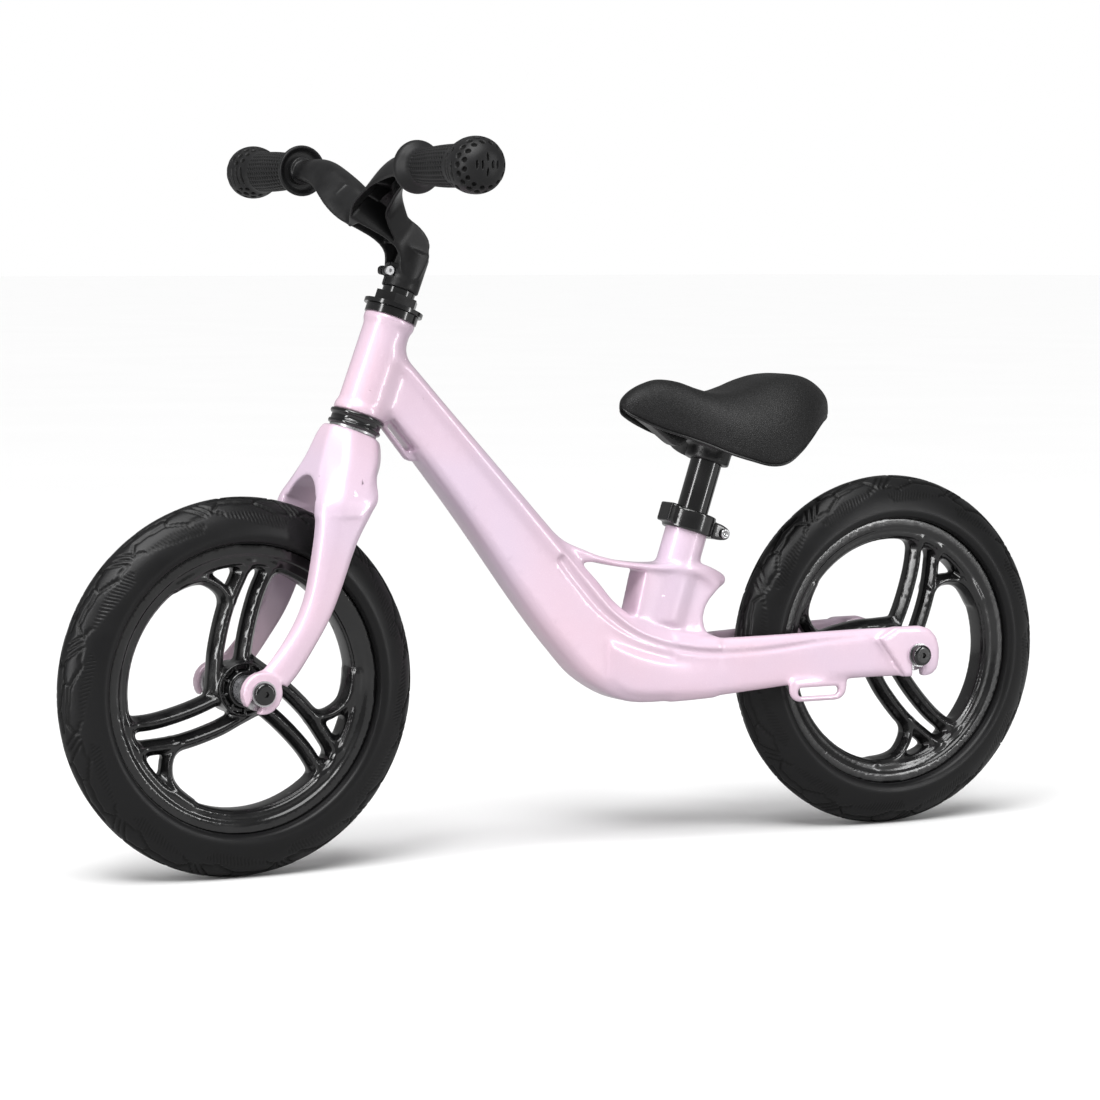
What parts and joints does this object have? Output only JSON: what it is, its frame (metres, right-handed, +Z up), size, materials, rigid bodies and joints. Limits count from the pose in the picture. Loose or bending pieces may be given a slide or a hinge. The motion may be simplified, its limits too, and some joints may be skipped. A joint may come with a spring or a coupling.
{
  "type": "balance bike",
  "caption": "Pedal-free balance bike with a cast step-through frame and fork, moulded spoked wheels, foam tyres, gull-shaped bar and small padded saddle.",
  "frame": {"origin": "on the ground, midway between the two axles, in the plane of symmetry", "axes": "+X points forward, +Y to the rider's left, +Z up"},
  "size_m": [0.8652, 0.4228, 0.5506],
  "materials": {
    "cast_paint": "pearl pink metallic gloss paint",
    "eva_tyre": "satin black foam with fine slanted sipes and lugs on the crown",
    "rim_plastic": "gloss black moulded plastic",
    "bar_casting": "satin black coated casting",
    "grip_rubber": "matte black rubber with rows of small dimples",
    "saddle_cover": "black pebbled synthetic leather",
    "black_steel": "gloss black coated steel",
    "bright_steel": "zinc plated steel",
    "bearing_steel": "ground bearing steel"
  },
  "bodies": {
    "frame": {"frame": "cast_paint", "upper_headset_cup": "black_steel", "lower_headset_cup": "black_steel", "upper_steering_bearing": "bearing_steel", "lower_steering_bearing": "bearing_steel", "rear_axle": "bright_steel", "rear_axle_bolts": "black_steel", "rear_axle_washers": "bright_steel", "rear_axle_spacers": "bright_steel", "seat_clamp": "black_steel", "seat_clamp_bolt": "bright_steel"},
    "rear_wheel": {"rear_rim": "rim_plastic", "rear_tyre": "eva_tyre", "rear_hub_bearings": "bearing_steel"},
    "fork": {"fork": "cast_paint", "steerer_tube": "black_steel", "crown_race": "bright_steel", "headset_dust_washer": "black_steel", "headset_lock_nut": "black_steel", "front_axle": "bright_steel", "front_axle_bolts": "black_steel", "front_axle_washers": "bright_steel", "front_axle_spacers": "bright_steel"},
    "front_wheel": {"front_rim": "rim_plastic", "front_tyre": "eva_tyre", "front_hub_bearings": "bearing_steel"},
    "handlebar": {"handlebar": "bar_casting", "grip_left": "grip_rubber", "grip_right": "grip_rubber", "stem_clamp_bolt": "bright_steel"},
    "seat": {"seat_post": "black_steel", "saddle": "saddle_cover", "saddle_bracket": "black_steel"}
  },
  "joints": [
    {"name": "steering", "type": "hinge", "parent": "frame", "child": "fork", "pos_m": [0.1891, 0, 0.3448], "axis": [-0.3486, 0, 0.9373], "continuous": true},
    {"name": "handlebar_height", "type": "slide", "parent": "fork", "child": "handlebar", "axis": [-0.3486, 0, 0.9373], "range_m": [0, 0.03]},
    {"name": "seat_height", "type": "slide", "parent": "frame", "child": "seat", "axis": [-0.314, 0, 0.9494], "range_m": [-0.03, 0.05]},
    {"name": "front_wheel_spin", "type": "hinge", "parent": "fork", "child": "front_wheel", "pos_m": [0.2896, 0, 0.143], "axis": [0, 1, 0], "continuous": true},
    {"name": "rear_wheel_spin", "type": "hinge", "parent": "frame", "child": "rear_wheel", "pos_m": [-0.2896, 0, 0.143], "axis": [0, 1, 0], "continuous": true}
  ]
}
